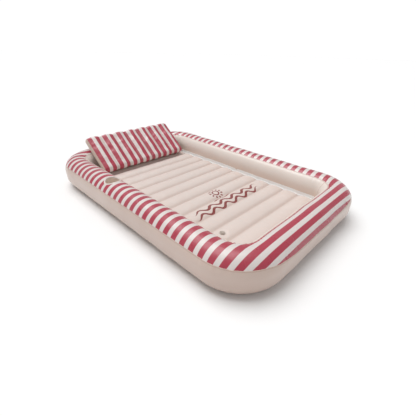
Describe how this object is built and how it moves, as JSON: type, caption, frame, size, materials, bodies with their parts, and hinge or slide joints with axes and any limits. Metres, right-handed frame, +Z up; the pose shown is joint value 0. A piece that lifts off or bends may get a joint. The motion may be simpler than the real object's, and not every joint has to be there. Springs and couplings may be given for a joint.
{
  "type": "inflatable pool float",
  "caption": "Inflatable lounge float: striped rounded ring round a channelled air mattress, with a folding striped pillow, a sunk cup holder and air valves.",
  "frame": {"origin": "centre of the footprint, on the surface the float lies on", "axes": "+X towards the foot end, pillow at -X, +Z up, cup holder on the -Y side"},
  "size_m": [1.8, 1.2, 0.2973],
  "materials": {
    "striped_vinyl": "red and white striped satin vinyl film",
    "plain_vinyl": "cream white satin vinyl film",
    "mattress_vinyl": "cream white satin vinyl film with a dark red print",
    "white_tape": "white vinyl weld tape",
    "cup_vinyl": "tan vinyl film",
    "rim_vinyl": "grey white vinyl",
    "inner_vinyl": "beige vinyl film",
    "valve_vinyl": "soft grey-brown translucent moulded vinyl"
  },
  "bodies": {
    "float": {"ring_top_right": "striped_vinyl", "ring_top_head": "striped_vinyl", "ring_top_left": "striped_vinyl", "ring_top_foot": "striped_vinyl", "ring_outer_right": "plain_vinyl", "ring_outer_head": "plain_vinyl", "ring_outer_left": "plain_vinyl", "ring_outer_foot": "plain_vinyl", "ring_inner_right": "plain_vinyl", "ring_inner_head": "plain_vinyl", "ring_inner_left": "plain_vinyl", "ring_inner_foot": "plain_vinyl", "ring_base_right": "plain_vinyl", "ring_base_head": "plain_vinyl", "ring_base_left": "plain_vinyl", "ring_base_foot": "plain_vinyl", "mattress_top_sheet": "mattress_vinyl", "mattress_bottom_sheet": "mattress_vinyl", "mattress_webs": "mattress_vinyl", "mattress_edge_tape": "white_tape", "cup_holder_cup": "cup_vinyl", "cup_holder_rim": "rim_vinyl", "pillow_sling": "inner_vinyl", "ring_valve_base": "valve_vinyl", "mattress_valve_base": "valve_vinyl"},
    "pillow": {"pillow_front_panel": "striped_vinyl", "pillow_back_panel": "striped_vinyl", "pillow_left_gusset": "plain_vinyl", "pillow_right_gusset": "plain_vinyl", "pillow_webs": "inner_vinyl", "pillow_valve_base": "valve_vinyl"},
    "ring_valve_stem": {"ring_valve_stem": "valve_vinyl"},
    "ring_valve_disc": {"ring_valve_disc": "valve_vinyl"},
    "ring_valve_cap": {"ring_valve_cap": "valve_vinyl"},
    "mattress_valve_stem": {"mattress_valve_stem": "valve_vinyl"},
    "mattress_valve_disc": {"mattress_valve_disc": "valve_vinyl"},
    "mattress_valve_cap": {"mattress_valve_cap": "valve_vinyl"},
    "pillow_valve_stem": {"pillow_valve_stem": "valve_vinyl"},
    "pillow_valve_disc": {"pillow_valve_disc": "valve_vinyl"},
    "pillow_valve_cap": {"pillow_valve_cap": "valve_vinyl"}
  },
  "joints": [
    {"name": "pillow_fold", "type": "hinge", "parent": "float", "child": "pillow", "pos_m": [-0.59026, 0, 0.103], "axis": [0, 1, 0], "range_deg": [0, 135]},
    {"name": "ring_stem_slide", "type": "slide", "parent": "float", "child": "ring_valve_stem", "axis": [-0.7071, 0, 0.7071], "range_m": [0, 0.008]},
    {"name": "ring_disc_swing", "type": "hinge", "parent": "ring_valve_stem", "child": "ring_valve_disc", "pos_m": [-0.86783, 0.25, 0.16307], "axis": [0, 1, 0], "range_deg": [0, 60], "stiffness_Nm_per_rad": 0.0004, "springref_deg": -17.19},
    {"name": "ring_cap_hinge", "type": "hinge", "parent": "ring_valve_stem", "child": "ring_valve_cap", "pos_m": [-0.86507, 0.25, 0.19129], "axis": [0, 1, 0], "range_deg": [0, 120]},
    {"name": "mattress_stem_slide", "type": "slide", "parent": "float", "child": "mattress_valve_stem", "axis": [0, 0, 1], "range_m": [0, 0.008]},
    {"name": "mattress_disc_swing", "type": "hinge", "parent": "mattress_valve_stem", "child": "mattress_valve_disc", "pos_m": [0.5154, -0.294, 0.0513], "axis": [0, -1, 0], "range_deg": [0, 60], "stiffness_Nm_per_rad": 0.0004, "springref_deg": -17.19},
    {"name": "mattress_cap_hinge", "type": "hinge", "parent": "mattress_valve_stem", "child": "mattress_valve_cap", "pos_m": [0.4935, -0.294, 0.0693], "axis": [0, -1, 0], "range_deg": [0, 120]},
    {"name": "pillow_stem_slide", "type": "slide", "parent": "pillow", "child": "pillow_valve_stem", "axis": [-0.6157, 0, -0.788], "range_m": [0, 0.008]},
    {"name": "pillow_disc_swing", "type": "hinge", "parent": "pillow_valve_stem", "child": "pillow_valve_disc", "pos_m": [-0.79309, 0.315, 0.23825], "axis": [0, 1, 0], "range_deg": [0, 60], "stiffness_Nm_per_rad": 0.0004, "springref_deg": -17.19},
    {"name": "pillow_cap_hinge", "type": "hinge", "parent": "pillow_valve_stem", "child": "pillow_valve_cap", "pos_m": [-0.82143, 0.315, 0.23755], "axis": [0, 1, 0], "range_deg": [0, 120]}
  ]
}
